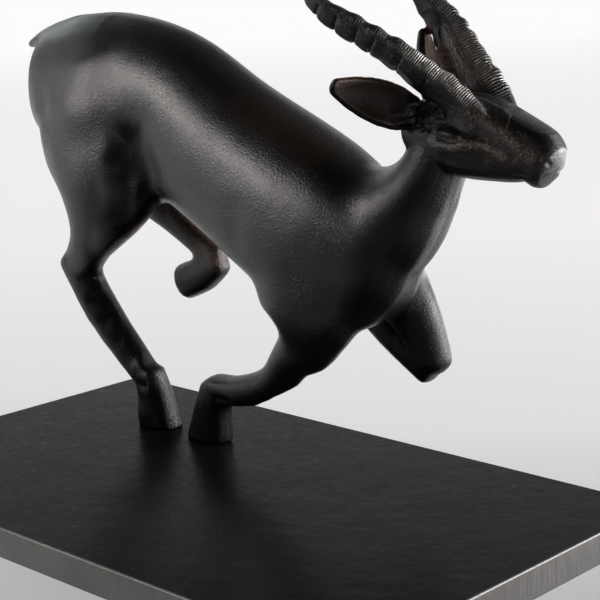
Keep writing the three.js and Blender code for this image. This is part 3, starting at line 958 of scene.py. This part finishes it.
def dress_plate(plate):
    """A black top, brushed edges and underside, and a worn upper arris."""
    plate.data.materials.append(plate_top())
    plate.data.materials.append(steel("brushed_edge", **EDGE_STEEL))
    plate.data.materials.append(steel("worn_arris", **ARRIS_STEEL))
    half = 0.5 * PLATE["thickness"] * MM
    for face in plate.data.polygons:
        upward = face.normal.z
        if upward > LEVEL:
            face.material_index = TOP_FACE
        elif upward > SLOPING and face.center.z > half:
            face.material_index = ARRIS_FACE
        else:
            face.material_index = EDGE_FACE


TOWARDS_BACK = (-0.719, 0.695, 0.0)
TOWARDS_RIGHT = (0.695, 0.719, 0.0)
FLOOR_SIZE = 14.0
FLOOR_HEIGHT = -0.0002
PAPER_DULL = (0.30, 0.30, 0.297, 1)
PAPER_PALE = (0.32, 0.32, 0.317, 1)
PAPER_MIRRORED = (0.09, 0.09, 0.09, 1)
PAPER_GLOW = (1.0, 1.0, 0.997, 1)
# The sheet's glow over spans of its distance in metres, as the camera sees it and as the bronze mirrors it.
SEEN_GLOW = {"front": ((-0.1, 0.08), (0.33, 0.56)), "near": ((0.08, 0.5), (0.0, 0.15)),
             "far": ((0.5, 2.6), (0.0, 0.21))}
MIRRORED_GLOW = {"back": ((-0.06, 0.16), (0.04, 0.55)), "far": ((0.15, 0.8), (0.0, 0.3)),
                 "right": ((0.13, 0.4), (0.0, 3.2)), "beside": ((0.03, 0.08), (0.3, 0.0))}


def floor():
    """A pale sheet, brighter away from the object, and dark in front where the bronze mirrors it."""
    bpy.ops.object.select_all(action="DESELECT")
    bpy.ops.mesh.primitive_plane_add(size=FLOOR_SIZE, location=(0, 0, FLOOR_HEIGHT))
    sheet = bpy.context.object
    sheet.name = "floor"
    bpy.ops.object.transform_apply(location=True, rotation=True, scale=True)
    r = Finish("pale_floor")
    seen = r.seen()
    paper = r.blend(r.noise(scale=6.0), PAPER_DULL, PAPER_PALE)
    r.shade(Base_Color=r.blend(seen, PAPER_MIRRORED, paper), Roughness=0.7, Specular_IOR_Level=0.1)
    back = r.along(r.place, TOWARDS_BACK)
    away = r.math("ABSOLUTE", back)
    rise = r.plus(r.spread(away, *SEEN_GLOW["near"]), r.spread(away, *SEEN_GLOW["far"]))
    pale = r.plus(r.spread(back, *SEEN_GLOW["front"]), rise)
    mirrored_back = r.plus(r.spread(back, *MIRRORED_GLOW["back"]), r.spread(back, *MIRRORED_GLOW["far"]))
    mirrored_right = r.spread(r.along(r.place, TOWARDS_RIGHT), *MIRRORED_GLOW["right"])
    x, y, _ = r.add("ShaderNodeSeparateXYZ", {0: r.place}).outputs
    past_ends = r.math("SUBTRACT", r.math("ABSOLUTE", x), 0.5 * PLATE["length"] * MM)
    past_sides = r.math("SUBTRACT", r.math("ABSOLUTE", y), 0.5 * PLATE["width"] * MM)
    mirrored_beside = r.spread(r.math("MAXIMUM", past_ends, past_sides), *MIRRORED_GLOW["beside"])
    mirrored_floor = r.plus(r.plus(mirrored_back, mirrored_right), mirrored_beside)
    r.shade(Emission_Color=PAPER_GLOW, Emission_Strength=r.choose(seen, mirrored_floor, pale))
    sheet.data.materials.append(r.material)


# The soft lights' places, sizes in metres, watts and colours.
LIGHTS_AIM = (0.0, 0.02, 0.1)
WARM_WHITE = (1.0, 0.955, 0.93)
DAYLIGHT = (0.9, 0.97, 1.0)
WHITE = (1.0, 1.0, 1.0)
LIGHTS = {
    "left_softbox": {"place": (-0.61, -0.74, 0.33), "size": (0.55, 0.2), "watts": 2.6, "colour": WARM_WHITE},
    "window": {"place": (-1.05, 0.12, 0.64), "size": (0.7, 0.3), "watts": 0.9, "colour": DAYLIGHT},
    "right_softbox": {"place": (0.87, 0.83, 0.28), "size": (0.6, 0.5), "watts": 12.0, "colour": WHITE},
    "strip_light": {"place": (1.08, 0.22, 0.30), "size": (0.14, 0.4), "watts": 2.6, "colour": WHITE},
    "high_softbox": {"place": (0.37, 0.80, 0.78), "size": (0.35, 0.3), "watts": 1.4, "colour": WHITE},
}
WALL_LIT = (0.97, 0.99, 1.0, 1)
WALL_SEEN = (0.965, 0.965, 0.965, 1)
# The room's light over spans of direction: towards the back, and upwards twice.
ROOM = {"wall": ((-0.2, 0.9), (0.03, 0.95)), "ceiling": ((0.26, 0.48), (1.0, 0.12)),
        "skirting": ((0.0, 0.2), (0.36, 1.0))}


def soft_light(name, place, size, watts, colour):
    data = bpy.data.lights.new(name, "AREA")
    data.shape = "RECTANGLE"
    data.size, data.size_y = size
    data.energy = watts
    data.color = colour
    lamp = bpy.data.objects.new(name, data)
    bpy.context.collection.objects.link(lamp)
    lamp.location = place
    lamp.rotation_euler = (Vector(LIGHTS_AIM) - Vector(place)).to_track_quat("-Z", "Y").to_euler()
    lamp.visible_camera = False


def studio():
    """A white wall behind the object, a dark room in front of it, and soft lights around it."""
    world = bpy.data.worlds.new("studio")
    bpy.context.scene.world = world
    world.use_nodes = True
    n = Nodes(world.node_tree)
    way = n.add("ShaderNodeTexCoord").outputs["Generated"]
    upward = n.add("ShaderNodeSeparateXYZ", {0: way}).outputs["Z"]
    wall = n.spread(n.along(way, TOWARDS_BACK), *ROOM["wall"])
    below_ceiling = n.times(wall, n.spread(upward, *ROOM["ceiling"]))
    lit = n.tree.nodes["Background"]
    n.feed(lit.inputs["Color"], WALL_LIT)
    n.feed(lit.inputs["Strength"], n.times(below_ceiling, n.spread(upward, *ROOM["skirting"])))
    plain = n.add("ShaderNodeBackground", {"Color": WALL_SEEN})
    either = n.add("ShaderNodeMixShader", {0: n.seen(), 1: lit.outputs[0], 2: plain.outputs[0]})
    n.feed(n.tree.nodes["World Output"].inputs["Surface"], either.outputs[0])
    for name, light in LIGHTS.items():
        soft_light(name, **light)


photo_camera()

skin = springbok_skin()
skin.data.materials.append(bronze())
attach(skin, "root")
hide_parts("springbok")

plate = base_plate()
dress_plate(plate)
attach(plate, "root")
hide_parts("base_plate")

floor()
studio()
bpy.context.scene.view_settings.view_transform = "Standard"
